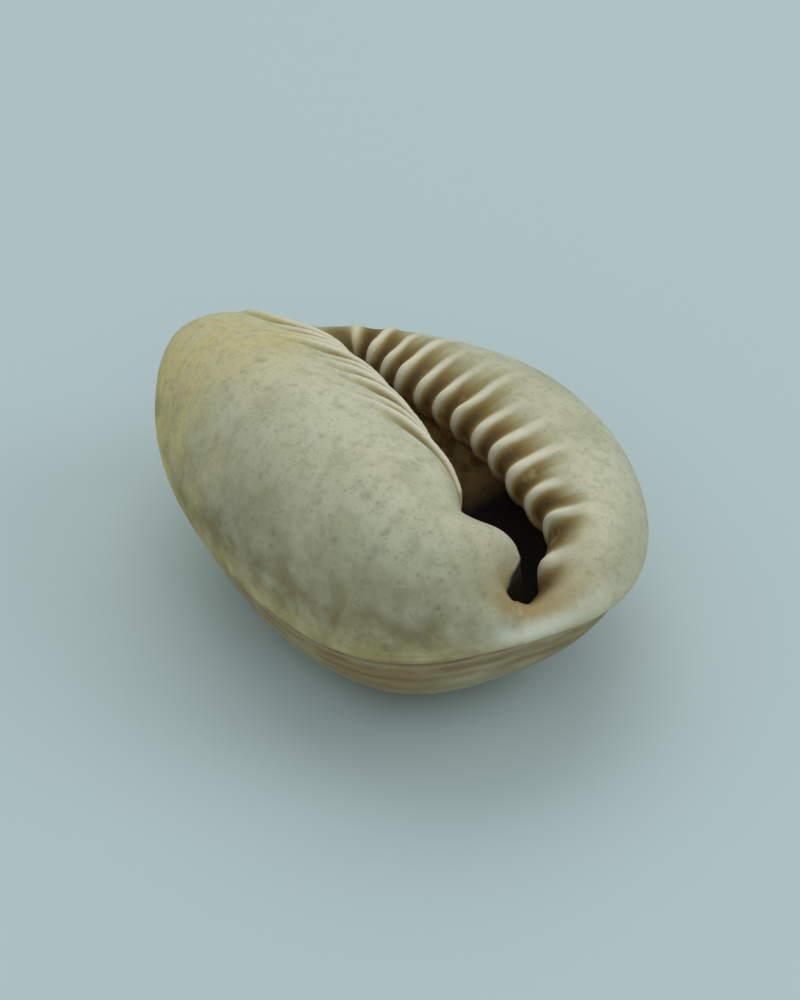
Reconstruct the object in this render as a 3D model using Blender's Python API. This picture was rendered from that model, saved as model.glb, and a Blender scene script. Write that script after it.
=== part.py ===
"""A cowrie shell that lies on its back with the aperture up. Metres, +Z up.

The origin is the bottom centre of the shell's bounding box. -Y is the front end with its siphon canal, +Y the
back end, +X the outer lip and -X the columella side. The shell rests at z = 0 on a small worn flat of its back.

The shell is one loft. Its profile starts in the middle of the back, climbs past the margin's ledge and over the
base to the lip, goes down the throat and comes back round the cavity. It is a cubic B-spline, whose control
points are worked out for each direction round the aperture. The teeth are then raised across both lips.
"""

import bpy
import numpy as np

MM = 0.001

# Outline from above, before the ledge widens it. The middle line runs from the back end to the front end.
HALF_LENGTH = 12.0 * MM
COLUMELLA_HALF_WIDTH = 7.4 * MM
LIP_HALF_WIDTH = 9.5 * MM
BACK_END_WIDER = 0.04  # share by which the back end is wider than the middle
OUTLINE_SKEW = -0.06  # share that swells the back left and front right corners
OUTLINE_TRIANGLE = (0.018, -0.040)  # shares of the outline's threefold swell, across and along

# Heights, from the level where the margin is widest
BACK_DEPTH = 6.4 * MM
COLUMELLA_HEIGHT = 6.6 * MM
LIP_HEIGHT = 3.6 * MM
COLUMELLA_PEAK_Y = -1.8 * MM
LIP_PEAK_Y = -2.0 * MM
COLUMELLA_FALL = (0.52, 0.36)  # share of the height lost at the back end and at the front end
LIP_FALL = (0.88, 0.39)
HEIGHT_CURVE = 2.2
CREST_SHARES = (0.95, 0.90)  # height of the lip's crest and of the columella's, as shares of the base's
SIDE_BLEND = 0.22  # how gently the outer lip's side turns into the columella side at both ends
MARGIN_RISE = 1.6 * MM  # the margin climbs this much towards both ends
LIP_BACK_DROP = 1.9 * MM  # the outer lip's margin drops again at the back end

# The aperture
THROAT_BACK_Y = 9.4 * MM
THROAT_FRONT_Y = -9.6 * MM
THROAT_X = 2.5 * MM
THROAT_BOW = -1.0 * MM  # the aperture bends back towards the middle at both ends
THROAT_HOOK = 1.6 * MM  # and its back end hooks towards the outer lip
HOOK_START = 0.35  # share of the way from the middle to the back end
HOOK_CURVE = 2.2
FRONT_TURN = (1.0 * MM, 0.955)  # the front end turns in behind the flap: how far, and the share where it starts
# Gaps between the throat's line and its two sides, at shares of the way from the middle to the back end
GAP_PLACES = (-1.0, -0.75, -0.5, 0.0, 0.5, 1.0)
COLUMELLA_GAPS = (1.20 * MM, 1.55 * MM, 1.35 * MM, 1.05 * MM, 0.85 * MM, 0.65 * MM)
LIP_GAPS = (0.70 * MM, 2.25 * MM, 1.50 * MM, 1.20 * MM, 1.00 * MM, 1.10 * MM)
THROAT_SQUARENESS = 0.35
EDGE_BLEND = 0.12  # how fast the columella's step and flap give way to the outer lip at the ends
STEP_BACK = (0.40 * MM, -6.7 * MM, 1.2 * MM)  # depth, place and reach of the step in the columella's edge
FLAP = (0.8 * MM, -9.1 * MM, 0.85 * MM)  # the same for the rounded flap beside the front canal
UNDERCUT = 0.7 * MM  # the throat's wall under the outer lip's teeth

# Canals at the two ends: depth, then the width on the columella side and on the outer lip's side, as shares
BACK_CANAL = (1.2 * MM, 0.20, 0.20)
FRONT_CANAL = (2.3 * MM, 0.25, 0.42)

# Control points of the profile. Back and cavity rows give the share of the way from the pole to the margin, the
# share of the back's depth, the share of the margin's rise and the share of the canal's depth.
POLE = (-0.1 * MM, 0.0 * MM)
BACK_ROWS = (
    (0.00, 1.00, 0.0, 0.0),
    (0.18, 1.00, 0.0, 0.0),
    (0.36, 1.00, 0.0, 0.0),
    (0.62, 0.86, 0.2, 0.0),
    (0.84, 0.58, 0.5, 0.0),
    (0.95, 0.32, 0.8, 0.0),
    (0.975, 0.18, 1.0, 0.0),
    (1.03, 0.16, 1.0, 0.0),
)
CAVITY_ROWS = (
    (0.97, 0.10, 0.4, 0.9),
    (0.95, 0.38, 0.5, 0.5),
    (0.80, 0.66, 0.4, 0.1),
    (0.52, 0.94, 0.2, 0.0),
    (0.26, 1.00, 0.0, 0.0),
    (0.00, 1.00, 0.0, 0.0),
)
CAVITY_SCALE = 0.83  # about a point over the pole, which leaves a wall of about a millimetre
CAVITY_CENTRE_Z = -1.0 * MM
CAVITY_SHORTER = 0.14  # share by which the cavity draws in at its ends, clear of the canals
# Base rows give the share of the way from the throat to the margin, then the shares of the base's height, of the
# margin's rise and of the canal's depth.
BASE_ROWS = ((1.00, 0.52, 0.7, 0.62), (0.80, 0.93, 0.3, 0.90), (0.52, 1.08, 0.0, 1.10))
LEDGE_ROW = (1.045, 0.3 * MM, 0.30)  # share of the way from the pole to the margin, height, share of the canal
CEILING_ROW = (0.55, 0.10, 0.3, 1.4)
CEILING_LOWER = 0.3 * MM
# Lip rows give the distance from the throat's line and the most that it may be as a share of the way to the margin,
# then the shares of the base's height, of the crest's height and of the canal's depth. Wall rows are the same for
# the throat's wall under the teeth.
LIP_ROWS = ((1.9 * MM, 0.34, 0.35, 0.66, 1.15), (0.7 * MM, 0.16, 0.0, 0.93, 1.15), (0.0, 0.0, 0.0, 0.66, 1.0))
WALL_ROWS = ((0.05 * MM, 0.10, 0.0, 0.32, 0.8), (1.2 * MM, 0.25, 0.08, 0.0, 0.9))

# Teeth. Each is four segments wide, so that its ridge and its grooves fall on the mesh's own lines.
SEGMENTS_A_TOOTH = 4
LIP_TEETH = 13
LIP_TEETH_START_Y = 8.85 * MM
LIP_PITCHES = (1.2 * MM, 1.6 * MM)  # at the back end and at the front end
COLUMELLA_TEETH = 15  # the last three are worn away
COLUMELLA_TEETH_START_Y = 8.9 * MM
COLUMELLA_PITCH = 1.2 * MM
END_SEGMENTS = 16
# Relief, how round the crests are, the stops where a tooth rises, and the numbers between which the row of teeth
# rises at the back end and dies out at the front end
LIP_TOOTH_FORM = (0.42 * MM, 0.8, (11.8, 13.6), (-0.5, 0.5), (12.0, 12.8))
COLUMELLA_TOOTH_FORM = (0.28 * MM, 0.9, (12.7, 14.2), (-0.5, 1.0), (11.0, 12.2))
TOOTH_END_STOPS = (16.2, 18.0)  # where all teeth die out down the throat

# Runs of the mesh's rings along the profile: first and last stop, counted in control rows, the number of rings, and
# the step between the segments used
RING_RUNS = (
    (2.0, 2.5, 2, 4),
    (2.9, 5.6, 7, 2),
    (6.0, 8.0, 5, 1),
    (8.4, 11.6, 8, 1),
    (12.1, 15.3, 8, 1),
    (15.9, 17.4, 3, 1),
    (18.2, 21.0, 4, 2),
    (22.0, 23.0, 2, 4),
)
NORMAL_STEP = 0.001  # step for the surface's slopes, in radians round it and in stops along it

SHELL_COLOUR = (0.50, 0.46, 0.33, 1.0)
SHELL_ROUGHNESS = 0.45


def clear_scene():
    for thing in list(bpy.data.objects):
        bpy.data.objects.remove(thing, do_unlink=True)


def smooth_step(start, end, value):
    share = np.clip((value - start) / (end - start), 0.0, 1.0)
    return share * share * (3.0 - 2.0 * share)


def bump(value, centre, reach):
    return np.exp(-(((value - centre) / reach) ** 2))


def columella_share(across, blend):
    """One on the columella side and zero on the outer lip's side, with a soft change between."""
    return 0.5 * (1.0 - np.tanh(across / blend))


def margin_outline(turn):
    """The widest line of the shell from above, in each direction round it."""
    across, along = np.cos(turn), np.sin(turn)
    half_width = np.where(across < 0.0, COLUMELLA_HALF_WIDTH, LIP_HALF_WIDTH)
    swell = 1.0 + OUTLINE_SKEW * np.sin(2.0 * turn)
    swell += OUTLINE_TRIANGLE[0] * np.cos(3.0 * turn) + OUTLINE_TRIANGLE[1] * np.sin(3.0 * turn)
    x = half_width * (1.0 + BACK_END_WIDER * along) * across * swell
    return np.stack([x, HALF_LENGTH * along * swell], axis=-1)


def throat_y(turn):
    middle = (THROAT_BACK_Y + THROAT_FRONT_Y) / 2.0
    return middle + (THROAT_BACK_Y - THROAT_FRONT_Y) / 2.0 * np.sin(turn)


def throat_outline(turn):
    """The narrowest line of the aperture from above."""
    across, along = np.cos(turn), np.sin(turn)
    y = throat_y(turn)
    line = THROAT_X + THROAT_BOW * along**2
    line = line + THROAT_HOOK * np.clip((along - HOOK_START) / (1.0 - HOOK_START), 0.0, 1.0) ** HOOK_CURVE
    line = line - FRONT_TURN[0] * smooth_step(FRONT_TURN[1], 1.0, -along)
    lip_gap = np.interp(along, GAP_PLACES, LIP_GAPS)
    columella_gap = np.interp(along, GAP_PLACES, COLUMELLA_GAPS)
    gap = np.where(across > 0.0, lip_gap, columella_gap)
    x = line + gap * np.sign(across) * np.abs(across) ** THROAT_SQUARENESS
    columella = columella_share(across, EDGE_BLEND)
    x = x - columella * STEP_BACK[0] * bump(y, *STEP_BACK[1:])
    x = x + columella * FLAP[0] * bump(y, *FLAP[1:])
    return np.stack([x, y], axis=-1)


def height_along(y, top, peak_y, fall):
    """The base's height along one side: highest at its peak and lower towards both ends."""
    away = (y - peak_y) / (HALF_LENGTH + abs(peak_y))
    return top * (1.0 - np.where(away > 0.0, fall[0], fall[1]) * np.abs(away) ** HEIGHT_CURVE)


def control_rows(turn):
    """The profile's control points in each direction, as rows of points."""
    across, along = np.cos(turn), np.sin(turn)
    margin, throat = margin_outline(turn), throat_outline(turn)
    columella = columella_share(across, SIDE_BLEND)
    rise = MARGIN_RISE * along**4
    rise = rise - LIP_BACK_DROP * np.clip(along, 0.0, 1.0) ** 3 * np.clip(across + 0.4, 0.0, 1.0)
    lip_base = height_along(margin[:, 1], LIP_HEIGHT, LIP_PEAK_Y, LIP_FALL)
    columella_base = height_along(margin[:, 1], COLUMELLA_HEIGHT, COLUMELLA_PEAK_Y, COLUMELLA_FALL)
    base = lip_base + (columella_base - lip_base) * columella
    crest = base * (CREST_SHARES[0] + (CREST_SHARES[1] - CREST_SHARES[0]) * columella)
    at_back = along > 0.0
    canal_depth = np.where(at_back, BACK_CANAL[0], FRONT_CANAL[0])
    widths = [np.where(at_back, BACK_CANAL[place], FRONT_CANAL[place]) for place in (1, 2)]
    canal = canal_depth * bump(across, 0.0, np.where(across < 0.0, *widths))
    at_end = np.abs(along) ** 6
    under_canal = canal_depth * at_end
    reach = np.linalg.norm(margin - throat, axis=-1)

    def point(start, end, share, z):
        plan = start + np.broadcast_to(share, turn.shape)[:, None] * (end - start)
        return np.column_stack([plan, np.broadcast_to(z, turn.shape)])

    def from_pole(share, depth, rise_share, canal_share):
        z = -depth * BACK_DEPTH + rise_share * rise - canal_share * under_canal
        return point(np.array(POLE), margin, share, z)

    def past_throat(distance, most_share, base_share, crest_share, canal_share):
        z = base_share * base + crest_share * crest - canal_share * canal
        return point(throat, margin, np.minimum(distance / reach, most_share), z)

    rows = [from_pole(*row) for row in BACK_ROWS]
    share, height, canal_share = LEDGE_ROW
    rows.append(point(np.array(POLE), margin, share, height + rise - canal_share * canal))
    for share, height, rise_share, canal_share in BASE_ROWS:
        z = height * base + rise_share * rise - canal_share * canal
        rows.append(point(throat, margin, share, z))
    rows += [past_throat(*row) for row in LIP_ROWS]
    undercut = UNDERCUT * (1.0 - columella)
    for distance, most_share, *heights in WALL_ROWS:
        rows.append(past_throat(distance + undercut, most_share * (1.0 - at_end), *heights))
    share, height, rise_share, canal_share = CEILING_ROW
    z = height * base + rise_share * rise - canal_share * under_canal - CEILING_LOWER
    rows.append(point(throat, margin, share * (1.0 - at_end), z))
    centre = np.array([*POLE, CAVITY_CENTRE_Z])
    shorter = 1.0 - CAVITY_SHORTER * at_end
    for share, *heights in CAVITY_ROWS:
        rows.append(centre + CAVITY_SCALE * (from_pole(share * shorter, *heights) - centre))
    return np.stack(rows)


def spline_points(rows, stops):
    """Points of the B-spline at these places, with its ends drawn out to the first and last control points."""
    rows = np.concatenate([rows[:1], rows[:1], rows, rows[-1:], rows[-1:]])
    first = np.minimum(np.floor(stops).astype(int), len(rows) - 4)
    t = (stops - first)[:, None, None]
    weights = ((1 - t) ** 3, 3 * t**3 - 6 * t**2 + 4, -3 * t**3 + 3 * t**2 + 3 * t + 1, t**3)
    return sum(weight * rows[first + n] for n, weight in enumerate(weights)) / 6.0


def lip_tooth_y(number):
    """Where a tooth of the outer lip lies, counted from the back, with a pitch that grows evenly."""
    first, last = LIP_PITCHES
    place = number + 0.5
    return LIP_TEETH_START_Y - (place * first + place**2 * (last - first) / (2.0 * LIP_TEETH))


def lip_tooth_number(y):
    first, last = LIP_PITCHES
    growth = (last - first) / LIP_TEETH
    inside = np.maximum(first**2 + 2.0 * growth * (LIP_TEETH_START_Y - y), 0.0)
    return (np.sqrt(inside) - first) / growth - 0.5


def columella_tooth_number(y):
    return (COLUMELLA_TEETH_START_Y - y) / COLUMELLA_PITCH - 0.5


def columella_tooth_y(number):
    return COLUMELLA_TEETH_START_Y - (number + 0.5) * COLUMELLA_PITCH


def directions():
    """The direction of each segment, from the outer lip's front end by the back end all the way round."""
    half = (THROAT_BACK_Y - THROAT_FRONT_Y) / 2.0
    middle = (THROAT_BACK_Y + THROAT_FRONT_Y) / 2.0
    lip_numbers = np.linspace(LIP_TEETH - 0.5, -0.5, LIP_TEETH * SEGMENTS_A_TOOTH + 1)
    columella_numbers = np.linspace(-0.5, COLUMELLA_TEETH - 0.5, COLUMELLA_TEETH * SEGMENTS_A_TOOTH + 1)
    lip = np.arcsin((lip_tooth_y(lip_numbers) - middle) / half)
    columella = np.pi - np.arcsin((columella_tooth_y(columella_numbers) - middle) / half)
    back = np.linspace(lip[-1], columella[0], END_SEGMENTS + 1)
    front = np.linspace(columella[-1], lip[0] + 2.0 * np.pi, END_SEGMENTS + 1)
    return np.concatenate([lip[:-1], back[:-1], columella[:-1], front[:-1]])


def row_of_teeth(number, stop, form):
    """How far one row of teeth raises the surface, with a crest at each whole number."""
    relief, roundness, rising_stops, first_numbers, last_numbers = form
    crests = (0.5 + 0.5 * np.cos(2.0 * np.pi * number)) ** roundness
    in_row = smooth_step(*first_numbers, number) * (1.0 - smooth_step(*last_numbers, number))
    on_profile = smooth_step(*rising_stops, stop) * (1.0 - smooth_step(*TOOTH_END_STOPS, stop))
    return relief * crests * in_row * on_profile


def tooth_relief(turn, stops):
    """How far the teeth raise the surface, for each stop of the profile and each direction."""
    y = throat_y(turn)
    stop = stops[:, None]
    on_lip = row_of_teeth(lip_tooth_number(y), stop, LIP_TOOTH_FORM)
    on_columella = row_of_teeth(columella_tooth_number(y), stop, COLUMELLA_TOOTH_FORM)
    return np.where(np.cos(turn) > 0.0, on_lip, on_columella)


def shell_surface(turn, stops):
    """The toothed surface as a grid of points, one row for each stop."""
    rows = control_rows(turn)
    points = spline_points(rows, stops)
    round_it = spline_points(control_rows(turn + NORMAL_STEP) - control_rows(turn - NORMAL_STEP), stops)
    along_it = spline_points(rows, stops + NORMAL_STEP) - spline_points(rows, stops - NORMAL_STEP)
    normals = np.cross(round_it, along_it)
    normals /= np.linalg.norm(normals, axis=-1, keepdims=True)
    return points + normals * tooth_relief(turn, stops)[..., None]


def band_faces(low, high):
    """Faces between two rings of point numbers, where one ring may have twice as many points as the other."""
    faces = []
    if len(low) == len(high):
        for n in range(len(low)):
            after = (n + 1) % len(low)
            faces.append((low[n], low[after], high[after], high[n]))
        return faces
    coarse, fine = (low, high) if len(low) < len(high) else (high, low)
    for n in range(len(coarse)):
        after = (n + 1) % len(coarse)
        near, middle, far = fine[2 * n], fine[2 * n + 1], fine[(2 * n + 2) % len(fine)]
        fan = [(coarse[n], middle, near), (coarse[n], coarse[after], middle), (coarse[after], far, middle)]
        faces += fan if coarse is low else [face[::-1] for face in fan]
    return faces


def shell_mesh():
    """The closed mesh: a flat where the shell rests, the rings, and the middle of the cavity."""
    turn = directions()
    stops = np.concatenate([np.linspace(first, last, count) for first, last, count, _ in RING_RUNS])
    steps = [step for _, _, count, step in RING_RUNS for _ in range(count)]
    rings, points = [], []
    for row, step in zip(shell_surface(turn, stops), steps):
        ring = row[::step]
        rings.append(list(range(len(points), len(points) + len(ring))))
        points.extend(ring)
    cavity_pole = len(points)
    points.append(control_rows(turn[:1])[-1, 0])
    faces = [tuple(reversed(rings[0]))]
    for low, high in zip(rings, rings[1:]):
        faces += band_faces(low, high)
    last = rings[-1]
    faces += [(last[n], last[(n + 1) % len(last)], cavity_pole) for n in range(len(last))]
    points = np.array(points)
    low_corner, high_corner = points.min(axis=0), points.max(axis=0)
    middle = (low_corner + high_corner) / 2.0
    points -= (middle[0], middle[1], low_corner[2])
    mesh = bpy.data.meshes.new("cowrie_shell")
    mesh.from_pydata(points.tolist(), [], faces)
    mesh.shade_smooth()
    return mesh


def shell_material():
    material = bpy.data.materials.new("worn_shell")
    material.use_nodes = True
    shader = material.node_tree.nodes["Principled BSDF"]
    shader.inputs["Base Color"].default_value = SHELL_COLOUR
    shader.inputs["Roughness"].default_value = SHELL_ROUGHNESS
    return material


def main():
    clear_scene()
    parts = bpy.data.collections.new("cowrie_shell")
    bpy.context.scene.collection.children.link(parts)
    mesh = shell_mesh()
    mesh.materials.append(shell_material())
    parts.objects.link(bpy.data.objects.new("cowrie_shell", mesh))


if __name__ == "__main__":
    main()
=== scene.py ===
"""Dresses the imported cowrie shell: its fine worn surface, a pale table and soft studio light.

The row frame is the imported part's: +X is the outer lip, +Y the back end, +Z points out of the aperture, and
the shell's back rests at z = 0. Sizes in the classes are millimetres, and become metres where a mesh is made.
"""

import logging
import math
from dataclasses import dataclass, field
from enum import Enum

import bpy
import numpy as np
from mathutils import Matrix, Vector, noise


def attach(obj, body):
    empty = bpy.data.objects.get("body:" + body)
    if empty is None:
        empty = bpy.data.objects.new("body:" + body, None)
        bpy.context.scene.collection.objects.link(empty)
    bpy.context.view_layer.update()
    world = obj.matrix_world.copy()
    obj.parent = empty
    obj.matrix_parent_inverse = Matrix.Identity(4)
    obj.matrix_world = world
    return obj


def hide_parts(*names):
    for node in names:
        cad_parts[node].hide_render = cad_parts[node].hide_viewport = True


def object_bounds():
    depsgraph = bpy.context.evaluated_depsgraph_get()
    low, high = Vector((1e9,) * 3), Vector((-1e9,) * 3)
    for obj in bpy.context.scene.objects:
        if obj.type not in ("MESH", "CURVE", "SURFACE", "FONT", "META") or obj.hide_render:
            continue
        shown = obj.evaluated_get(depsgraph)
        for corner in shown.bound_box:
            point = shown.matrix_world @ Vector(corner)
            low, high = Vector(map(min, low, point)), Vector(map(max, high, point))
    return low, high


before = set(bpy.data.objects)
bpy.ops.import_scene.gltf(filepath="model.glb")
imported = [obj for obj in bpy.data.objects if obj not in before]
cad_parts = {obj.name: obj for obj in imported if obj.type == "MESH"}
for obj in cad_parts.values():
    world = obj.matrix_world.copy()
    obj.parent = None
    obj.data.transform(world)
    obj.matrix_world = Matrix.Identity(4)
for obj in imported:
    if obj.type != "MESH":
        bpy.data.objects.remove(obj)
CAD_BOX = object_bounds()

LOG = logging.getLogger("cowrie_shell")
MM = 0.001
NOISE_FALL = 0.9  # how fast the octaves of the mesh's noise grow weaker
NOISE_STEP = 2.0  # how much finer each octave is than the one before


def linear_colour(hex_colour: str) -> tuple[float, float, float, float]:
    """Turns an sRGB hex colour into the linear colour that a shader takes.

    Args:
        hex_colour: Six hex digits after a hash sign.

    Returns:
        Red, green, blue and an alpha of one.
    """
    shares = [int(hex_colour[place : place + 2], 16) / 255.0 for place in (1, 3, 5)]
    red, green, blue = (c / 12.92 if c <= 0.04045 else ((c + 0.055) / 1.055) ** 2.4 for c in shares)
    return red, green, blue, 1.0


def smooth_step(start: float, end: float, value: np.ndarray) -> np.ndarray:
    """Climbs smoothly from zero at start to one at end."""
    share = np.clip((value - start) / (end - start), 0.0, 1.0)
    return share * share * (3.0 - 2.0 * share)


def bump(value: np.ndarray, centre: float, reach: float) -> np.ndarray:
    """A round hump of height one about the centre."""
    return np.exp(-(((value - centre) / reach) ** 2))


def noise_field(points: np.ndarray, size: float, seed: float, detail: int = 1) -> np.ndarray:
    """Smooth noise from about -1 to 1 at each point.

    Args:
        points: Points in millimetres, with the three coordinates last.
        size: Size of the noise's patches in millimetres.
        seed: Shift that gives each use its own pattern.
        detail: Number of octaves.

    Returns:
        One value for each point.
    """
    flat = points.reshape(-1, 3) / size + seed
    values = [noise.fractal(Vector(point), NOISE_FALL, NOISE_STEP, detail) for point in flat]
    return np.array(values).reshape(points.shape[:-1])


def add_node(
    tree: bpy.types.NodeTree, kind: str, inputs: dict | None = None, **settings: object
) -> bpy.types.Node:
    """Adds a node to a tree.

    Args:
        tree: The node tree.
        kind: The node's type, without its leading "ShaderNode".
        inputs: A value to set or a socket to link, for each input's name or number.
        settings: The node's own properties.

    Returns:
        The new node.
    """
    node = tree.nodes.new("ShaderNode" + kind)
    for name, value in settings.items():
        setattr(node, name, value)
    for name, value in (inputs or {}).items():
        if isinstance(value, bpy.types.NodeSocket):
            tree.links.new(value, node.inputs[name])
        else:
            node.inputs[name].default_value = value
    return node


class Side(Enum):
    """The two sides of the aperture."""

    LIP = "outer lip"
    COLUMELLA = "columella"


@dataclass(frozen=True)
class ShellForm:
    """The shell without its teeth: a cubic B-spline profile for each direction round the aperture.

    A stop is a place along the profile, counted in control rows. The profile climbs the back to stop 6, turns
    the margin's ledge at 7 to 8, crosses the base to the lip's crest at 13, goes down the throat at 15 and
    comes back round the cavity to 25. Heights count from the level where the margin is widest. The values are
    those of the CAD solid.
    """

    half_length: float = 12.0
    columella_half_width: float = 7.4
    lip_half_width: float = 9.5
    back_end_wider: float = 0.04
    outline_skew: float = -0.06
    outline_triangle: tuple[float, float] = (0.018, -0.040)  # shares of its threefold swell, across and along

    back_depth: float = 6.4
    columella_height: float = 6.6
    lip_height: float = 3.6
    columella_peak_y: float = -1.8
    lip_peak_y: float = -2.0
    columella_fall: tuple[float, float] = (0.52, 0.36)  # share of the height lost at the back and front ends
    lip_fall: tuple[float, float] = (0.88, 0.39)
    height_curve: float = 2.2
    crest_shares: tuple[float, float] = (0.95, 0.90)  # of the base's height, on the lip and on the columella
    side_blend: float = 0.22
    margin_rise: float = 1.6  # the margin climbs towards both ends
    rise_curve: int = 4
    lip_back_drop: float = 1.9  # and the outer lip's drops again at the back end
    drop_curve: int = 3
    drop_spread: float = 0.4

    throat_back_y: float = 9.4
    throat_front_y: float = -9.6
    throat_x: float = 2.5
    throat_bow: float = -1.0
    throat_hook: float = 1.6
    hook_start: float = 0.35
    hook_curve: float = 2.2
    front_turn: tuple[float, float] = (1.0, 0.955)  # how far its front end turns in, and where that starts
    gap_places: tuple[float, ...] = (-1.0, -0.75, -0.5, 0.0, 0.5, 1.0)
    columella_gaps: tuple[float, ...] = (1.20, 1.55, 1.35, 1.05, 0.85, 0.65)
    lip_gaps: tuple[float, ...] = (0.70, 2.25, 1.50, 1.20, 1.00, 1.10)
    throat_squareness: float = 0.35
    edge_blend: float = 0.12
    step_back: tuple[float, float, float] = (0.40, -6.7, 1.2)  # depth, place and reach
    flap: tuple[float, float, float] = (0.8, -9.1, 0.85)
    undercut: float = 0.7
    end_curve: int = 6  # how close to the ends the canals cut under the base
    back_canal: tuple[float, float, float] = (1.2, 0.20, 0.20)  # depth, columella side's width and lip's
    front_canal: tuple[float, float, float] = (2.3, 0.25, 0.42)

    pole: tuple[float, float] = (-0.1, 0.0)
    # Back and cavity rows: shares of the way to the margin, of the depth, of the rise and of the canal's depth
    back_rows: tuple = (
        (0.00, 1.00, 0.0, 0.0),
        (0.18, 1.00, 0.0, 0.0),
        (0.36, 1.00, 0.0, 0.0),
        (0.62, 0.86, 0.2, 0.0),
        (0.84, 0.58, 0.5, 0.0),
        (0.95, 0.32, 0.8, 0.0),
        (0.975, 0.18, 1.0, 0.0),
        (1.03, 0.16, 1.0, 0.0),
    )
    cavity_rows: tuple = (
        (0.97, 0.10, 0.4, 0.9),
        (0.95, 0.38, 0.5, 0.5),
        (0.80, 0.66, 0.4, 0.1),
        (0.52, 0.94, 0.2, 0.0),
        (0.26, 1.00, 0.0, 0.0),
        (0.00, 1.00, 0.0, 0.0),
    )
    cavity_scale: float = 0.83
    cavity_centre_z: float = -1.0
    cavity_shorter: float = 0.14
    # The other rows: shares or distances from the throat, then of the heights and of the canal's depth
    base_rows: tuple = ((1.00, 0.52, 0.7, 0.62), (0.80, 0.93, 0.3, 0.90), (0.52, 1.08, 0.0, 1.10))
    ledge_row: tuple[float, float, float] = (1.045, 0.3, 0.30)
    ceiling_row: tuple[float, float, float, float] = (0.55, 0.10, 0.3, 1.4)
    ceiling_lower: float = 0.3
    lip_rows: tuple = (
        (1.9, 0.34, 0.35, 0.66, 1.15),
        (0.7, 0.16, 0.0, 0.93, 1.15),
        (0.0, 0.0, 0.0, 0.66, 1.0),
    )
    wall_rows: tuple = ((0.05, 0.10, 0.0, 0.32, 0.8), (1.2, 0.25, 0.08, 0.0, 0.9))
    throat_stop: float = 15.0

    @staticmethod
    def columella_share(across: np.ndarray, blend: float) -> np.ndarray:
        """One on the columella side and zero on the outer lip's, with a soft change between."""
        return 0.5 * (1.0 - np.tanh(across / blend))

    def margin_outline(self, turn: np.ndarray) -> np.ndarray:
        """The widest line of the shell from above, in each direction round it."""
        across, along = np.cos(turn), np.sin(turn)
        half_width = np.where(across < 0.0, self.columella_half_width, self.lip_half_width)
        swell = 1.0 + self.outline_skew * np.sin(2.0 * turn)
        swell += self.outline_triangle[0] * np.cos(3.0 * turn) + self.outline_triangle[1] * np.sin(3.0 * turn)
        x = half_width * (1.0 + self.back_end_wider * along) * across * swell
        return np.stack([x, self.half_length * along * swell], axis=-1)

    def throat_y(self, turn: np.ndarray) -> np.ndarray:
        """How far along the shell each direction meets the throat."""
        middle = (self.throat_back_y + self.throat_front_y) / 2.0
        return middle + (self.throat_back_y - middle) * np.sin(turn)

    def throat_turn(self, y: np.ndarray, side: Side) -> np.ndarray:
        """The direction that meets the throat at y on one side."""
        middle = (self.throat_back_y + self.throat_front_y) / 2.0
        turn = np.arcsin((y - middle) / (self.throat_back_y - middle))
        return turn if side is Side.LIP else np.pi - turn

    def throat_outline(self, turn: np.ndarray) -> np.ndarray:
        """The narrowest line of the aperture from above."""
        across, along = np.cos(turn), np.sin(turn)
        y = self.throat_y(turn)
        line = self.throat_x + self.throat_bow * along**2
        hook = np.clip((along - self.hook_start) / (1.0 - self.hook_start), 0.0, 1.0)
        line = line + self.throat_hook * hook**self.hook_curve
        line = line - self.front_turn[0] * smooth_step(self.front_turn[1], 1.0, -along)
        lip_gap = np.interp(along, self.gap_places, self.lip_gaps)
        columella_gap = np.interp(along, self.gap_places, self.columella_gaps)
        gap = np.where(across > 0.0, lip_gap, columella_gap)
        x = line + gap * np.sign(across) * np.abs(across) ** self.throat_squareness
        columella = self.columella_share(across, self.edge_blend)
        x = x - columella * self.step_back[0] * bump(y, *self.step_back[1:])
        x = x + columella * self.flap[0] * bump(y, *self.flap[1:])
        return np.stack([x, y], axis=-1)

    def base_height(self, y: np.ndarray, columella: np.ndarray) -> np.ndarray:
        """The base's height, highest at its peak on each side and lower towards both ends.

        Args:
            y: Places along the shell.
            columella: One on the columella side and zero on the outer lip's.

        Returns:
            Heights above the margin's level.
        """
        heights = []
        for top, peak_y, fall in (
            (self.lip_height, self.lip_peak_y, self.lip_fall),
            (self.columella_height, self.columella_peak_y, self.columella_fall),
        ):
            away = (y - peak_y) / (self.half_length + abs(peak_y))
            heights.append(top * (1.0 - np.where(away > 0.0, *fall) * np.abs(away) ** self.height_curve))
        return heights[0] + (heights[1] - heights[0]) * columella

    def canal_share(self, turn: np.ndarray) -> np.ndarray:
        """How much of its end's canal each direction has, from 0 to 1."""
        across, at_back = np.cos(turn), np.sin(turn) > 0.0
        columella_width, lip_width = (
            np.where(at_back, *widths) for widths in zip(self.back_canal[1:], self.front_canal[1:])
        )
        return bump(across, 0.0, np.where(across < 0.0, columella_width, lip_width))

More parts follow.
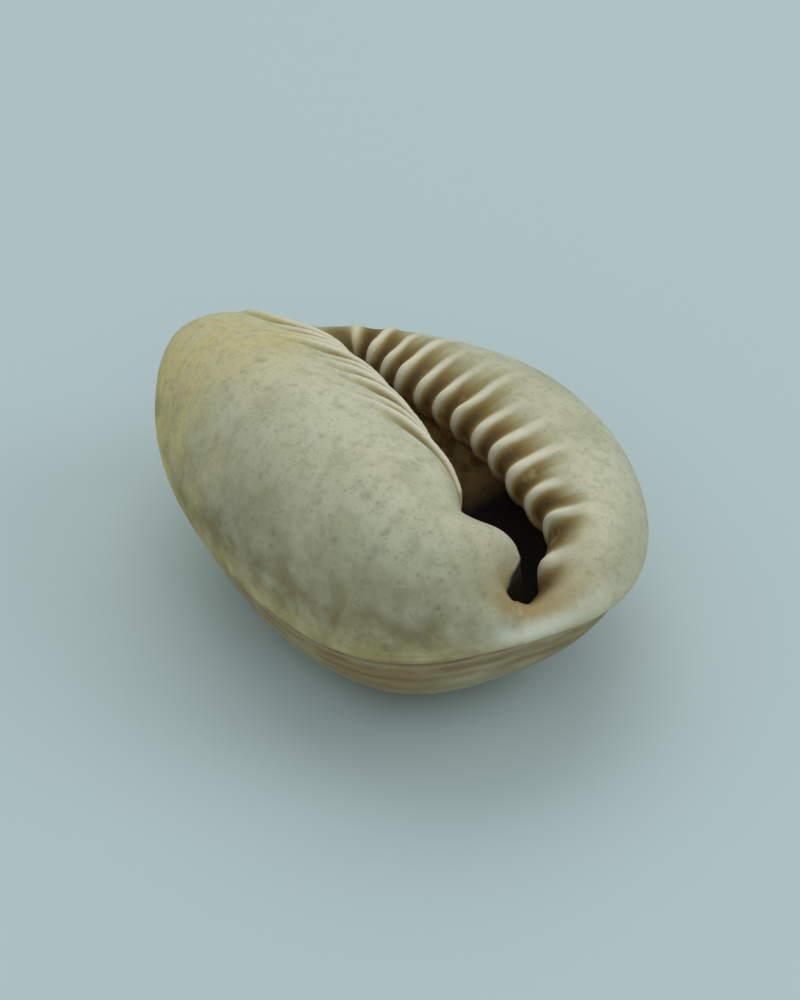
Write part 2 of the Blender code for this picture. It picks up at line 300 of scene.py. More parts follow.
    def control_rows(self, turn: np.ndarray) -> np.ndarray:
        """The profile's control points in each direction.

        Args:
            turn: Directions round the aperture, in radians.

        Returns:
            One row of points for each control row.
        """
        across, along = np.cos(turn), np.sin(turn)
        margin, throat = self.margin_outline(turn), self.throat_outline(turn)
        columella = self.columella_share(across, self.side_blend)
        rise = self.margin_rise * along**self.rise_curve
        drop = self.lip_back_drop * np.clip(along, 0.0, 1.0) ** self.drop_curve
        rise = rise - drop * np.clip(across + self.drop_spread, 0.0, 1.0)
        base = self.base_height(margin[:, 1], columella)
        crest = base * (self.crest_shares[0] + (self.crest_shares[1] - self.crest_shares[0]) * columella)
        canal_depth = np.where(along > 0.0, self.back_canal[0], self.front_canal[0])
        canal = canal_depth * self.canal_share(turn)
        at_end = np.abs(along) ** self.end_curve
        under_canal = canal_depth * at_end
        reach = np.linalg.norm(margin - throat, axis=-1)
        pole = np.array(self.pole)

        def point(start: np.ndarray, end: np.ndarray, share: np.ndarray | float, z: np.ndarray) -> np.ndarray:
            """A row of points between two lines of the plan, at the heights z."""
            plan = start + np.broadcast_to(share, turn.shape)[:, None] * (end - start)
            return np.column_stack([plan, np.broadcast_to(z, turn.shape)])

        def from_pole(
            share: np.ndarray | float, depth: float, rise_share: float, canal_share: float
        ) -> np.ndarray:
            """A row of points of the back or of the cavity."""
            z = -depth * self.back_depth + rise_share * rise - canal_share * under_canal
            return point(pole, margin, share, z)

        def past_throat(
            distance: np.ndarray | float,
            most: np.ndarray | float,
            base_share: float,
            crest_share: float,
            canal_share: float,
        ) -> np.ndarray:
            """A row of points of the lip or of the throat's wall."""
            z = base_share * base + crest_share * crest - canal_share * canal
            return point(throat, margin, np.minimum(distance / reach, most), z)

        rows = [from_pole(*row) for row in self.back_rows]
        share, height, canal_share = self.ledge_row
        rows.append(point(pole, margin, share, height + rise - canal_share * canal))
        for share, height, rise_share, canal_share in self.base_rows:
            rows.append(point(throat, margin, share, height * base + rise_share * rise - canal_share * canal))
        rows += [past_throat(*row) for row in self.lip_rows]
        undercut = self.undercut * (1.0 - columella)
        for distance, most, *heights in self.wall_rows:
            rows.append(past_throat(distance + undercut, most * (1.0 - at_end), *heights))
        share, height, rise_share, canal_share = self.ceiling_row
        z = height * base + rise_share * rise - canal_share * under_canal - self.ceiling_lower
        rows.append(point(throat, margin, share * (1.0 - at_end), z))
        centre = np.array([*pole, self.cavity_centre_z])
        for share, *heights in self.cavity_rows:
            shorter = share * (1.0 - self.cavity_shorter * at_end)
            rows.append(centre + self.cavity_scale * (from_pole(shorter, *heights) - centre))
        return np.stack(rows)

    def points(self, turn: np.ndarray, stops: np.ndarray) -> np.ndarray:
        """Points of the surface.

        Args:
            turn: Directions round the aperture, in radians.
            stops: Places along the profile.

        Returns:
            A grid with one row of points for each stop.
        """
        rows = self.control_rows(turn)
        rows = np.concatenate([rows[:1], rows[:1], rows, rows[-1:], rows[-1:]])
        first = np.minimum(np.floor(stops).astype(int), len(rows) - 4)
        t = (stops - first)[:, None, None]
        weights = ((1 - t) ** 3, 3 * t**3 - 6 * t**2 + 4, -3 * t**3 + 3 * t**2 + 3 * t + 1, t**3)
        return sum(weight * rows[first + place] for place, weight in enumerate(weights)) / 6.0


@dataclass(frozen=True)
class SurfaceGrid:
    """The surface before its teeth and its wear: a row for each ring and a column for each direction."""

    turn: np.ndarray
    stop: np.ndarray
    points: np.ndarray
    normals: np.ndarray
    area: np.ndarray  # of the surface round each point, in no set unit
    distance: np.ndarray  # from the throat's line along the profile, positive outwards
    y: np.ndarray  # where each point's direction meets the throat
    on_lip: np.ndarray
    outside: np.ndarray  # one outside and zero down the throat and in the cavity
    canal_share: np.ndarray
    meander: np.ndarray  # smooth noise, which keeps lines from being ruler straight


@dataclass(frozen=True)
class ToothRow:
    """One row of teeth: ridges that cross one side of the aperture and go down into the throat.

    A ridge's wave is one on its crest and zero halfway to the next.
    """

    side: Side
    count: int
    start_y: float
    pitches: tuple[float, float]  # at the back end and at the front end
    relief: float
    groove: float  # how far the grooves between the ridges are sunk
    sharpness: float
    knob: float  # by how much more a ridge stands out at the aperture's edge
    slant: float  # how far a ridge leans towards the back end for each millimetre outwards
    outward: tuple[float, float]  # distances from the throat where the ridges begin to fade and are gone
    front_shorter: float  # share by which the ridges at the front end are shorter
    inward: tuple[float, float]  # as outward, but down the throat
    first_numbers: tuple[float, float]  # numbers between which the row begins at the back end
    last_numbers: tuple[float, float]  # and between which it dies out at the front end
    wander: float = 0.10  # how far a ridge strays from its line, as a share of the pitch
    unlike: tuple[float, float, float] = (0.16, 2.3, 0.7)  # how unlike they are, then a sine's step and start
    front_part: tuple[float, float] = (0.55, 0.95)  # shares of the row between which the ridges grow shorter
    hollow_curve: float = 1.4
    knob_band: tuple[float, float] = (0.7, 0.5)  # middle and reach of the knobs, outwards from the throat
    crest_wave: tuple[float, float] = (0.72, 1.0)  # the wave where the crest's pale colour and painted highlight begin and are full
    groove_wave: tuple[float, float] = (0.45, 0.92)  # where the groove's colour is full and where it ends
    silt_and_shade_wave: tuple[float, float] = (0.05, 0.55)  # and the same for the dark seam in it, silt and painted shade where the groove is deepest
    samples: int = 400  # for finding a tooth's number from its place

    def y_of(self, number: np.ndarray) -> np.ndarray:
        """Where a tooth lies along the shell, counted from the back end, with a pitch that grows evenly."""
        first, last = self.pitches
        place = number + 0.5
        return self.start_y - (place * first + place**2 * (last - first) / (2.0 * self.count))

    def number_at(self, y: np.ndarray) -> np.ndarray:
        """The tooth's number at a place along the shell, with a crest at each whole number."""
        numbers = np.linspace(-1.5, self.count + 0.5, self.samples)
        places = self.y_of(numbers)
        return np.interp(-y, -places, numbers)

    def relief_at(self, grid: SurfaceGrid) -> dict[str, np.ndarray]:
        """The ridges over the grid.

        Args:
            grid: The surface that they stand on.

        Returns:
            The height that the teeth add, and the shares of crest, groove and seam at each point.
        """
        distance = grid.distance
        number = self.number_at(grid.y - self.slant * np.clip(distance, 0.0, None))
        number = number + self.wander * grid.meander
        wave = 0.5 + 0.5 * np.cos(2.0 * np.pi * number)
        in_row = smooth_step(*self.first_numbers, number) * (1.0 - smooth_step(*self.last_numbers, number))
        spread, step, start = self.unlike
        unlike = 1.0 + spread * np.sin(step * np.round(number) + start)
        longer = unlike * (1.0 - self.front_shorter * smooth_step(*self.front_part, number / self.count))
        fade = 1.0 - smooth_step(self.outward[0] * longer, self.outward[1] * longer, distance)
        fade = fade * (1.0 - smooth_step(*self.inward, -distance)) * in_row
        ridge = wave**self.sharpness * fade
        hollow = (1.0 - wave) ** self.hollow_curve * fade
        knob = 1.0 + self.knob * bump(distance, *self.knob_band)
        return {
            "height": self.relief * unlike * knob * ridge - self.groove * hollow,
            "crest": smooth_step(*self.crest_wave, wave) * fade,
            "groove": (1.0 - smooth_step(*self.groove_wave, wave)) * fade,
            "silt_and_shade": (1.0 - smooth_step(*self.silt_and_shade_wave, wave)) * fade,
        }


@dataclass(frozen=True)
class SeaWear:
    """What the sea did to the shell: soft dents, small bore pits and a nibbled flap."""

    seed: int = 11
    dent_sizes: tuple = ((5.0, 0.060), (1.7, 0.022), (0.7, 0.007))  # size of the dents and how deep they are
    pits: int = 70
    pit_radii: tuple[float, float] = (0.14, 0.30)
    pit_radius_curve: float = 2.5  # how rare the larger pits are
    pit_edge: float = 1.6  # how steep a pit's side is
    pit_depth: float = 0.14  # as a share of the pit's radius
    pit_stops: tuple[float, float] = (7.2, 8.6)  # the pits begin past the ledge
    pit_distances: tuple[float, float] = (0.5, 3.0)  # and stay clear of the throat
    pits_on_lip: float = 0.12  # their density on the outer lip, where one is the densest
    pits_at_back: float = 0.5  # and at the columella's back end
    pit_front_y: tuple[float, float] = (4.0, -8.0)  # between which they grow denser towards the front end
    nibble_size: float = 0.55
    nibble_depth: float = 0.07
    nibble_seed: float = 8.0
    nibble_y: tuple[float, float] = (-9.3, 1.5)  # middle and reach of the flap's worn edge
    nibble_reach: float = 0.8  # from the throat's line

    def dents(self, points: np.ndarray) -> np.ndarray:
        """Heights of the soft dents at each point."""
        return sum(
            depth * noise_field(points, size, self.seed + place)
            for place, (size, depth) in enumerate(self.dent_sizes)
        )

    def nibbles(self, grid: SurfaceGrid) -> np.ndarray:
        """Heights of the flap's nibbled edge at each point."""
        flap = bump(grid.y, *self.nibble_y) * ~grid.on_lip * bump(grid.distance, 0.0, self.nibble_reach)
        return self.nibble_depth * flap * noise_field(grid.points, self.nibble_size, self.nibble_seed, detail=2)

    def pit_chances(self, grid: SurfaceGrid) -> np.ndarray:
        """How likely a pit is at each point, in no set unit."""
        body = grid.outside * smooth_step(*self.pit_stops, grid.stop)
        body = body * smooth_step(*self.pit_distances, grid.distance)
        towards_front = smooth_step(*self.pit_front_y, grid.points[..., 1])
        on_columella = self.pits_at_back + (1.0 - self.pits_at_back) * towards_front
        return body * np.where(grid.on_lip, self.pits_on_lip, on_columella) * grid.area

    def bore_pits(self, grid: SurfaceGrid) -> tuple[np.ndarray, np.ndarray]:
        """Bore pits, scattered over the body.

        Args:
            grid: The surface that they lie in.

        Returns:
            How deep each point lies in a pit, as a share, and in millimetres.
        """
        rng = np.random.default_rng(self.seed)
        likely = self.pit_chances(grid)
        flat = grid.points.reshape(-1, 3)
        chances = likely.ravel() / likely.sum()
        centres = flat[rng.choice(len(flat), self.pits, p=chances)]
        low, high = self.pit_radii
        radii = low + (high - low) * rng.random(self.pits) ** self.pit_radius_curve
        share = np.zeros(len(flat))
        depth = np.zeros(len(flat))
        for centre, radius in zip(centres, radii):
            near = np.exp(-((np.linalg.norm(flat - centre, axis=1) / radius) ** 2) * self.pit_edge)
            share = np.maximum(share, near)
            depth = np.maximum(depth, near * radius * self.pit_depth)
        return share.reshape(likely.shape), depth.reshape(likely.shape)


@dataclass(frozen=True)
class StainPlaces:
    """Where each stain, painted shade and painted highlight lies on the shell.

    Two values are the ends of a soft change, or a band's middle and reach. Stops count along the profile, and
    distances run in millimetres from the throat's line, positive outwards.
    """

    body_stops: tuple[float, float] = (7.6, 9.0)
    crown_distances: tuple[float, float] = (11.0, 5.0)
    crown_on_lip: float = 0.85
    crown_lip_y: tuple[float, float] = (0.0, -5.0)
    # olive stain and painted shade low on the base
    low_stops: tuple[float, float] = (11.2, 8.9)
    low_ledge_stops: tuple[float, float] = (6.4, 7.8)
    low_on_lip: float = 0.35
    back_stops: tuple[float, float] = (6.2, 7.6)
    golden_middle: tuple[float, float] = (-4.5, 9.5)
    golden_reaches: tuple[float, float] = (9.5, 0.5)
    golden_ragged: tuple[float, float, float] = (2.6, 3.2, 5.0)  # depth, size and seed of its edge's noise
    margin_band: tuple[float, float] = (8.3, 0.55)
    margin_gold: float = 0.5
    back_canal_across: tuple[float, float] = (0.25, 0.35)
    back_canal_stops: tuple[float, float] = (11.0, 12.5)
    ledge_band: tuple[float, float] = (7.15, 0.35)
    growth_band: tuple[float, float] = (6.5, 1.5)
    growth_lines: float = 3.1  # lines for each stop of the profile
    growth_wander: float = 0.10
    canal_stops: tuple[float, float] = (9.3, 10.4)
    canal_distances: tuple[float, float] = (-1.0, 0.0)
    rim_band: tuple[float, float] = (9.0, 0.60)
    # where the teeth's pale crests and their painted highlight begin and are full
    crest_distances: tuple[float, float] = (-0.5, 0.3)
    groove_distances: tuple = ((3.3, 1.3), (3.4, 1.7))  # on the outer lip, and on the columella side
    # dark silt and painted shade at the bottom of the grooves
    silt_and_shade_distances: tuple = ((2.1, 0.7), (3.3, 2.0))
    throat_distances: tuple[float, float] = (0.1, -0.8)
    throat_on_columella: float = 0.8
    # painted shade of the dark inside: where it begins and is full, then at the front end and behind the flap
    cavity_shade_distances: tuple[float, float] = (-6.0, -9.5)
    shade_front_y: tuple[float, float] = (3.0, -0.5)
    shade_front_distances: tuple[float, float] = (-0.6, -2.2)
    shade_flap_y: tuple[float, float] = (-8.0, -8.8)
    shade_flap_distances: tuple[float, float] = (0.8, 0.2)

    def golden(self, grid: SurfaceGrid, points: np.ndarray) -> np.ndarray:
        """The golden back end, margin and back canal.

        Args:
            grid: The surface before its teeth and its wear.
            points: The finished points.

        Returns:
            The mark at each point.
        """
        depth, size, seed = self.golden_ragged
        ragged = depth * noise_field(points, size, seed, detail=2)
        from_middle = np.hypot(points[..., 0] - self.golden_middle[0], points[..., 1] - self.golden_middle[1])
        back_left = smooth_step(*self.golden_reaches, from_middle + ragged)
        back_canal = bump(np.cos(grid.turn), *self.back_canal_across) * (np.sin(grid.turn) > 0.0)
        back_canal = back_canal * smooth_step(*self.back_canal_stops, grid.stop)
        margin = self.margin_gold * bump(grid.stop, *self.margin_band)
        return np.clip(back_left + margin + back_canal, 0.0, 1.0) * grid.outside

    def cavity(self, grid: SurfaceGrid) -> np.ndarray:
        """Painted shade: the dark inside, which begins nearer the throat at the front end and behind the flap,
        where the cavity lies in shade.
        """
        deep = smooth_step(*self.cavity_shade_distances, grid.distance)
        front = smooth_step(*self.shade_front_y, grid.y) * smooth_step(*self.shade_front_distances, grid.distance)
        shade_behind_flap = smooth_step(*self.shade_flap_y, grid.y) * smooth_step(*self.shade_flap_distances, grid.distance)
        return deep + front + shade_behind_flap * ~grid.on_lip

    def marks(
        self, grid: SurfaceGrid, points: np.ndarray, teeth: dict[str, np.ndarray], pits: np.ndarray
    ) -> dict[str, np.ndarray]:
        """How much of each stain, painted shade and painted highlight lies at each point.

        Args:
            grid: The surface before its teeth and its wear.
            points: The finished points.
            teeth: The shares of crest, groove and seam.
            pits: The shares of the bore pits.

        Returns:
            One mark for each stain's name.
        """
        stop, distance, outside, on_lip = grid.stop, grid.distance, grid.outside, grid.on_lip

        def by_side(ends: tuple) -> np.ndarray:
            """A soft change along the profile, with other ends on each side of the aperture."""
            return np.where(on_lip, *(smooth_step(*pair, distance) for pair in ends))

        front_canal = grid.canal_share * (np.sin(grid.turn) < 0.0)
        rim = front_canal * bump(stop, *self.rim_band)
        crown = smooth_step(*self.crown_distances, distance) * outside
        crown_on_lip = self.crown_on_lip * smooth_step(*self.crown_lip_y, grid.y)
        low = smooth_step(*self.low_stops, stop) * smooth_step(*self.low_ledge_stops, stop)
        bent_stop = stop + self.growth_wander * grid.meander
        lines = 0.5 + 0.5 * np.cos(2.0 * np.pi * self.growth_lines * bent_stop)
        canal = front_canal * smooth_step(*self.canal_stops, stop)
        throat = smooth_step(*self.throat_distances, distance)
        return {
            "body": smooth_step(*self.body_stops, stop) * outside * (1.0 - rim),
            "crown": crown * np.where(on_lip, crown_on_lip, 1.0),
            # olive stain and painted shade low on the base
            "low": low * np.where(on_lip, self.low_on_lip, 1.0),
            "back": 1.0 - smooth_step(*self.back_stops, stop),
            "golden": self.golden(grid, points),
            "ledge": bump(stop, *self.ledge_band),
            "growth": bump(stop, *self.growth_band) * lines,
            "canal": canal * smooth_step(*self.canal_distances, distance),
            "rim": rim,
            "pit": pits,
            # pale polish and a painted highlight on the teeth's crests
            "crest": teeth["crest"] * smooth_step(*self.crest_distances, distance),
            "furrow": teeth["groove"],
            "groove": teeth["groove"] * by_side(self.groove_distances),
            # dark silt and painted shade at the bottom of the grooves
            "silt_and_shade": teeth["silt_and_shade"] * by_side(self.silt_and_shade_distances),
            "throat": throat * np.where(on_lip, 1.0, self.throat_on_columella),
            # painted shade inside the aperture
            "cavity": self.cavity(grid),
        }


@dataclass(frozen=True)
class StainLayer:
    """One colour laid over those before it, where a mark of the mesh and patches of noise let it show."""

    tint: str
    strength: float
    mark: str = ""
    patches: tuple[float, float, float, float] | None = None  # size in mm, octaves, the texture's two ends
    texture: str = "TexNoise"


@dataclass(frozen=True)
class WornShellFinish:
    """Aragonite shell, tumbled by the sea until its glaze is satin, with silt in its grooves and pits.

    It gives the eye a soft, broad highlight over cream that goes grey-green in blotches, warm at the back end
    and along the ledge, and brown between the teeth. Its colours also paint light and shade: painted shade
    inside the aperture, at the bottom of the grooves and low on the base, and a painted highlight on the
    teeth's crests. The specks' cells are 0.24 and 0.42 mm wide, as coarse as they need to be to show in the
    render.
    """

    cream: str = "#CBCCAE"
    layers: tuple[StainLayer, ...] = (
        StainLayer("#A7A982", 0.72, "body", (3.4, 4.0, 0.36, 0.66)),  # grey-green blotches
        StainLayer("#D3D6B9", 0.80, "crown", (4.0, 2.0, 0.20, 0.60)),  # paler, polished crown
        StainLayer("#72632F", 0.85, "low", (2.2, 4.0, 0.22, 0.52)),  # olive low down near the margin, partly painted shade on the lower base
        StainLayer("#D6D6C0", 0.35, "", (2.1, 3.0, 0.50, 0.72)),  # chalky where the glaze is gone
        StainLayer("#957E44", 0.90, "back", (6.5, 2.0, 0.10, 0.50)),  # straw-brown back
        StainLayer("#D9C982", 0.88, "golden", (1.3, 3.0, 0.15, 0.50)),  # golden back end
        StainLayer("#7A5222", 0.92, "growth", (1.6, 3.0, 0.30, 0.55)),  # brown growth lines beside the ledge
        StainLayer("#8A5F2C", 0.92, "ledge", (0.9, 2.0, 0.10, 0.40)),  # and a dark one along it
        StainLayer("#A1854A", 0.90, "canal", (0.8, 3.0, 0.10, 0.45)),  # rusty front canal
        StainLayer("#DEE2D0", 0.85, "rim"),  # and its bright rim
        StainLayer("#8B8A64", 0.28, "body", (0.50, 3.0, 0.48, 0.68)),  # fine mottle
        StainLayer("#66613F", 0.30, "body", (0.42, 0.0, 0.24, 0.06), "TexVoronoi"),  # specks
        StainLayer("#77724E", 0.25, "body", (0.24, 0.0, 0.30, 0.10), "TexVoronoi"),  # and finer ones
        StainLayer("#66603F", 0.35, "pit"),  # silt in the bore pits
        StainLayer("#9C9350", 0.80, "furrow", (1.1, 2.0, 0.10, 0.45)),  # olive between the ridges
        StainLayer("#86692A", 0.92, "groove", (0.7, 2.0, 0.10, 0.38)),  # brown silt near the aperture
        StainLayer("#40290F", 0.78, "silt_and_shade", (0.7, 2.0, 0.15, 0.45)),  # dark silt, and painted shade that is darkest where a groove is deepest
        StainLayer("#F0EBD2", 0.85, "crest"),  # pale polished crests of the teeth, with a painted highlight along each
        StainLayer("#DDB878", 0.95, "throat", (0.9, 3.0, 0.10, 0.40)),  # brown film down the throat
        StainLayer("#3A2812", 0.55, "throat", (0.7, 3.0, 0.48, 0.62)),  # darker spots on it
        StainLayer("#100A07", 1.0, "cavity"),  # painted shade: near black inside the aperture, where the cavity lies in shade
    )
    roughness: tuple[float, float] = (0.38, 0.56)
    roughness_size: float = 5.0  # of its patches
    roughness_ends: tuple[float, float] = (0.35, 0.65)  # of the noise that varies it
    silted: tuple[str, ...] = ("ledge", "groove", "low")  # marks where silt makes the surface rougher
    silt_roughness: float = 0.30
    ior: float = 1.53  # aragonite is about 1.53 to 1.69 by direction
    grain: tuple = ((0.30, 3.0, 1.0), (0.11, 2.0, 0.35))  # sizes in mm, octaves and shares of the fine relief
    grain_depth: float = 0.02
    grain_strength: float = 0.3

    def material(self) -> bpy.types.Material:
        """Builds the material.

        Returns:
            The material, which reads the marks that the shell's mesh carries.
        """
        material = bpy.data.materials.new("sea_worn_aragonite_shell")
        material.use_nodes = True
        tree = material.node_tree
        shader = tree.nodes["Principled BSDF"]
        place = add_node(tree, "TexCoord").outputs["Object"]

        colour = linear_colour(self.cream)
        for layer in self.layers:
            mask = layer.strength
            if layer.patches:
                size, octaves, low, high = layer.patches
                scale = 1.0 / (size * MM)
                texture = add_node(tree, layer.texture, {"Vector": place, "Scale": scale, "Detail": octaves})
                ends = {"Value": texture.outputs[0], "From Min": low, "From Max": high, "To Max": mask}
                mask = add_node(tree, "MapRange", ends).outputs["Result"]
            if layer.mark:
                mark = add_node(tree, "Attribute", attribute_name=layer.mark).outputs["Fac"]
                mask = add_node(tree, "Math", {0: mask, 1: mark}, operation="MULTIPLY").outputs["Value"]
            # The Mix node's colours are its inputs 6 and 7 and its output 2
            mix = add_node(tree, "Mix", {0: mask, 6: colour, 7: linear_colour(layer.tint)}, data_type="RGBA")
            colour = mix.outputs[2]
        tree.links.new(colour, shader.inputs["Base Color"])

        texture = add_node(tree, "TexNoise", {"Vector": place, "Scale": 1.0 / (self.roughness_size * MM)})
        sockets = ("From Min", "From Max", "To Min", "To Max")
        ends = dict(zip(sockets, (*self.roughness_ends, *self.roughness)))
        rough = add_node(tree, "MapRange", {"Value": texture.outputs["Fac"], **ends}).outputs["Result"]
        for name in self.silted:
            mark = add_node(tree, "Attribute", attribute_name=name).outputs["Fac"]
            added = {0: mark, 1: self.silt_roughness, 2: rough}
            rough = add_node(tree, "Math", added, operation="MULTIPLY_ADD").outputs["Value"]
        tree.links.new(rough, shader.inputs["Roughness"])
        shader.inputs["IOR"].default_value = self.ior

        relief = 0.0
        for size, octaves, share in self.grain:
            scale = 1.0 / (size * MM)
            texture = add_node(tree, "TexNoise", {"Vector": place, "Scale": scale, "Detail": octaves})
            added = {0: texture.outputs["Fac"], 1: share, 2: relief}
            relief = add_node(tree, "Math", added, operation="MULTIPLY_ADD").outputs["Value"]
        settings = {"Height": relief, "Strength": self.grain_strength, "Distance": self.grain_depth * MM}
        bumps = add_node(tree, "Bump", settings)
        tree.links.new(bumps.outputs["Normal"], shader.inputs["Normal"])
        return material


@dataclass
class CowrieShell:
    """The whole shell as one fine mesh, which stands for the CAD node."""

    form: ShellForm = field(default_factory=ShellForm)
    lip_teeth: ToothRow = ToothRow(
        side=Side.LIP,
        count=13,
        start_y=8.85,
        pitches=(1.2, 1.6),
        relief=0.12,
        groove=0.06,
        sharpness=5.0,
        knob=1.6,
        slant=0.0,
        outward=(1.2, 3.9),
        front_shorter=0.32,
        inward=(0.8, 2.6),
        first_numbers=(-1.4, 0.8),
        last_numbers=(12.0, 13.2),
    )
    columella_teeth: ToothRow = ToothRow(
        side=Side.COLUMELLA,
        count=15,
        start_y=8.9,
        pitches=(1.2, 1.2),
        relief=0.23,
        groove=0.13,
        sharpness=2.6,
        knob=0.2,
        slant=1.15,
        outward=(2.2, 4.1),
        front_shorter=0.0,
        inward=(0.8, 2.4),
        first_numbers=(0.4, 2.8),
        last_numbers=(11.0, 12.2),
    )
    wear: SeaWear = field(default_factory=SeaWear)
    stains: StainPlaces = field(default_factory=StainPlaces)
    finish: WornShellFinish = field(default_factory=WornShellFinish)
    segments_a_lip_tooth: int = 18
    segments_a_columella_tooth: int = 14
    end_segments: int = 48
    ring_runs: tuple = ((2.0, 7.0, 26), (7.1, 8.8, 14), (8.9, 11.4, 28), (11.5, 16.5, 74), (16.7, 24.6, 28))
    inside_stops: tuple[float, float] = (15.0, 17.0)  # between which the dents and outer stains end
    flat_stops: tuple[float, float] = (2.0, 3.0)  # between which the dents begin, clear of the flat
    meander: tuple[float, float] = (1.6, 3.0)  # size and seed of the noise that bends lines

    def directions(self) -> np.ndarray:
        """The direction of each segment, from the outer lip's front end by the back end all the way round."""
        lip, columella = self.lip_teeth, self.columella_teeth
        lip_numbers = np.linspace(lip.count - 0.5, -0.5, lip.count * self.segments_a_lip_tooth + 1)
        columella_numbers = np.linspace(
            -0.5, columella.count - 0.5, columella.count * self.segments_a_columella_tooth + 1
        )
        on_lip = self.form.throat_turn(lip.y_of(lip_numbers), lip.side)
        on_columella = self.form.throat_turn(columella.y_of(columella_numbers), columella.side)
        back = np.linspace(on_lip[-1], on_columella[0], self.end_segments + 1)
        front = np.linspace(on_columella[-1], on_lip[0] + 2.0 * np.pi, self.end_segments + 1)
        return np.concatenate([on_lip[:-1], back[:-1], on_columella[:-1], front[:-1]])

    def grid(self) -> SurfaceGrid:
        """Works out the surface before its teeth and its wear."""
        turn = self.directions()
        stops = np.concatenate([np.linspace(*run) for run in self.ring_runs])
        points = self.form.points(turn, stops)
        round_it = np.roll(points, -1, axis=1) - np.roll(points, 1, axis=1)
        normals = np.cross(round_it, np.gradient(points, axis=0))
        area = np.linalg.norm(normals, axis=-1)
        steps = np.linalg.norm(np.diff(points, axis=0), axis=-1)
        length = np.concatenate([np.zeros((1, len(turn))), np.cumsum(steps, axis=0)])
        throat_row = int(np.argmin(np.abs(stops - self.form.throat_stop)))
        stop = np.broadcast_to(stops[:, None], length.shape)
        return SurfaceGrid(
            turn=turn,
            stop=stop,
            points=points,
            normals=normals / area[..., None],
            area=area,
            distance=length[throat_row] - length,
            y=np.broadcast_to(self.form.throat_y(turn), length.shape),
            on_lip=np.broadcast_to(np.cos(turn) > 0.0, length.shape),
            outside=1.0 - smooth_step(*self.inside_stops, stop),
            canal_share=self.form.canal_share(turn),
            meander=noise_field(points, *self.meander),
        )

    def surface(self) -> tuple[np.ndarray, dict[str, np.ndarray]]:
        """The finished surface.

        Returns:
            A grid of points in millimetres, one row for each ring, and the marks at each point from 0 to 1.
        """
        grid = self.grid()
        lip, columella = self.lip_teeth.relief_at(grid), self.columella_teeth.relief_at(grid)
        teeth = {name: np.where(grid.on_lip, lip[name], columella[name]) for name in lip}
        pits, pit_depth = self.wear.bore_pits(grid)
        clear_of_flat = smooth_step(*self.flat_stops, grid.stop)
        height = teeth["height"] + self.wear.dents(grid.points) * grid.outside * clear_of_flat - pit_depth
        height = height + self.wear.nibbles(grid)
        points = grid.points + grid.normals * height[..., None]
        return points, self.stains.marks(grid, points, teeth, pits)

    def build(self) -> bpy.types.Object:
        """Builds the shell's mesh inside the CAD solid's box and dresses it.

        Returns:
            The shell.
        """
        points, marks = self.surface()
        rings, segments = points.shape[:2]
        corners = np.arange(rings * segments).reshape(rings, segments)
        low, high = corners[:-1], corners[1:]
        quads = np.stack([low, np.roll(low, -1, axis=1), np.roll(high, -1, axis=1), high], axis=-1)
        faces = [corners[0, ::-1].tolist(), *quads.reshape(-1, 4).tolist(), corners[-1].tolist()]
        flat = points.reshape(-1, 3)
        lowest, highest = flat.min(axis=0), flat.max(axis=0)
        cad_low, cad_high = np.array(CAD_BOX[0]) / MM, np.array(CAD_BOX[1]) / MM
        shift = (cad_low + cad_high - lowest - highest) / 2.0
        shift[2] = cad_low[2] - lowest[2]
        mesh = bpy.data.meshes.new("worn_cowrie_shell")
        mesh.from_pydata(((flat + shift) * MM).tolist(), [], faces)
        for name, values in marks.items():
            layer = mesh.attributes.new(name, "FLOAT", "POINT")
            layer.data.foreach_set("value", np.clip(values, 0.0, 1.0).ravel().astype(np.float32))
        mesh.shade_smooth()
        mesh.materials.append(self.finish.material())
        shell = bpy.data.objects.new("worn_cowrie_shell", mesh)
        bpy.context.scene.collection.objects.link(shell)
        LOG.info("shell: %d rings of %d points", rings, segments)
        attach(shell, "root")
        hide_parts("cowrie_shell")
        return shell


@dataclass(frozen=True)
class PaintedTableFinish:
    """A board with matt emulsion paint, rolled on. It gives the eye an even, pale blue-grey without gloss."""

    paint: str = "#C5DADE"
    roughness: float = 0.75

    def material(self) -> bpy.types.Material:
        """Builds the material."""
        material = bpy.data.materials.new("matt_painted_board")
        material.use_nodes = True
        shader = material.node_tree.nodes["Principled BSDF"]
        shader.inputs["Base Color"].default_value = linear_colour(self.paint)
        shader.inputs["Roughness"].default_value = self.roughness
        return material


@dataclass(frozen=True)
class SoftLight:
    """One large soft light, aimed at the shell. Azimuth 0 is in front, and 90 on the outer lip's side."""

    name: str
    azimuth: float
    elevation: float
    size: float
    watts: float
    tint: str = "#FFFFFF"
    distance: float = 420.0

    def build(self, target: Vector) -> None:
        """Adds the light.

        Args:
            target: What it is aimed at, in metres.
        """
        data = bpy.data.lights.new(self.name, "AREA")
        data.shape = "DISK"
        data.size = self.size * MM
        data.energy = self.watts
        data.color = linear_colour(self.tint)[:3]
        light = bpy.data.objects.new(self.name, data)
        towards = direction(self.azimuth, self.elevation)
        light.location = target + towards * self.distance * MM
        light.rotation_euler = towards.to_track_quat("Z", "Y").to_euler()
        light.visible_camera = False
        bpy.context.scene.collection.objects.link(light)


def direction(azimuth: float, elevation: float) -> Vector:
    """The direction from the shell to something seen at an azimuth and elevation, in degrees."""
    turn, rise = math.radians(azimuth), math.radians(elevation)
    return Vector((math.sin(turn) * math.cos(rise), -math.cos(turn) * math.cos(rise), math.sin(rise)))


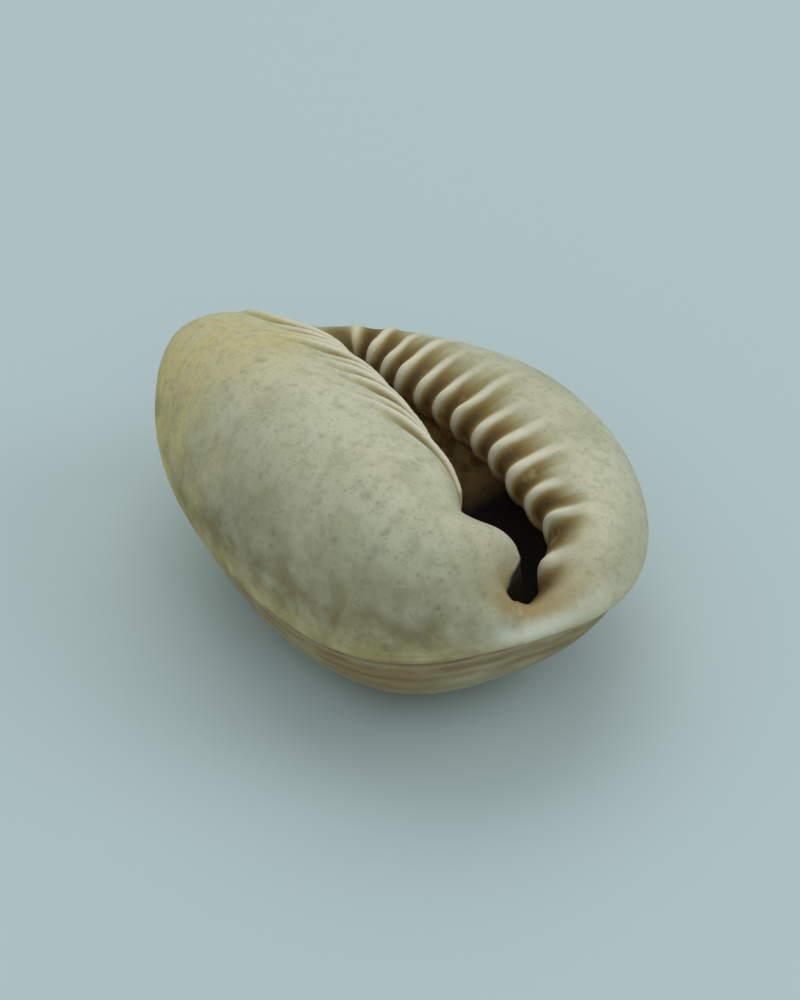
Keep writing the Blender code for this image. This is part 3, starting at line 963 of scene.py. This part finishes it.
@dataclass(frozen=True)
class Studio:
    """The table, the lights and the camera, which looks from where the photograph was taken."""

    table_size: float = 3000.0
    finish: PaintedTableFinish = field(default_factory=PaintedTableFinish)
    lights: tuple[SoftLight, ...] = (
        SoftLight("window", azimuth=150.0, elevation=62.0, size=400.0, watts=0.38, tint="#FFFDF6"),
        SoftLight("right_fill", azimuth=55.0, elevation=40.0, size=260.0, watts=0.22),
        SoftLight("front_fill", azimuth=-30.0, elevation=50.0, size=300.0, watts=0.20),
    )
    sky: str = "#F2F6F7"
    sky_strength: float = 0.49
    azimuth: float = -30.0
    elevation: float = 39.5
    lens: float = 350.0
    sensor: float = 36.0  # the height of the sensor, which is the frame's long side
    frame_aspect: float = 0.8
    shell_share: float = 0.62  # of the frame's width
    nearest: float = 10.0  # what is nearer to the camera isn't seen

    def build_table(self) -> None:
        """Adds the table top that the shell rests on."""
        half = self.table_size * MM / 2.0
        corners = [(-half, -half, 0), (half, -half, 0), (half, half, 0), (-half, half, 0)]
        mesh = bpy.data.meshes.new("table_top")
        mesh.from_pydata(corners, [], [(0, 1, 2, 3)])
        mesh.materials.append(self.finish.material())
        table = bpy.data.objects.new("table_top", mesh)
        bpy.context.scene.collection.objects.link(table)

    def build_sky(self) -> None:
        """Sets the even light that comes from all round."""
        world = bpy.data.worlds.new("soft_room")
        world.use_nodes = True
        background = world.node_tree.nodes["Background"]
        background.inputs["Color"].default_value = linear_colour(self.sky)
        background.inputs["Strength"].default_value = self.sky_strength
        bpy.context.scene.world = world

    def build_camera(self, shell: bpy.types.Object) -> None:
        """Aims the camera at the middle of the shell's outline.

        Args:
            shell: The object that fills the frame.
        """
        towards = direction(self.azimuth, self.elevation)
        right = Vector((0.0, 0.0, 1.0)).cross(towards).normalized()
        up = towards.cross(right)
        axes = np.array([right, up, towards])
        seen = np.array([vertex.co for vertex in shell.data.vertices]) @ axes.T
        lowest, highest = seen.min(axis=0), seen.max(axis=0)
        middle = Vector(((lowest + highest) / 2.0) @ axes)
        seen_width = self.sensor * self.frame_aspect / self.lens
        distance = (highest[0] - lowest[0]) / (seen_width * self.shell_share)
        data = bpy.data.cameras.new("photo_view")
        data.lens = self.lens
        data.sensor_fit = "VERTICAL"
        data.sensor_height = self.sensor
        data.clip_start = self.nearest * MM
        camera = bpy.data.objects.new("photo_view", data)
        rotation = Matrix((right, up, towards)).transposed().to_4x4()
        camera.matrix_world = Matrix.Translation(middle + towards * distance) @ rotation
        bpy.context.scene.collection.objects.link(camera)
        bpy.context.scene.camera = camera

    def build(self, shell: bpy.types.Object) -> None:
        """Builds everything round the shell."""
        bpy.context.scene.view_settings.view_transform = "Standard"
        self.build_table()
        self.build_sky()
        target = (Vector(CAD_BOX[0]) + Vector(CAD_BOX[1])) / 2.0
        for light in self.lights:
            light.build(target)
        self.build_camera(shell)
        LOG.info("studio: table, %d lights and the camera", len(self.lights))


def main() -> None:
    """Builds the shell and its studio."""
    logging.basicConfig(level=logging.INFO, format="%(message)s")
    shell = CowrieShell().build()
    Studio().build(shell)


if __name__ == "__main__":
    main()
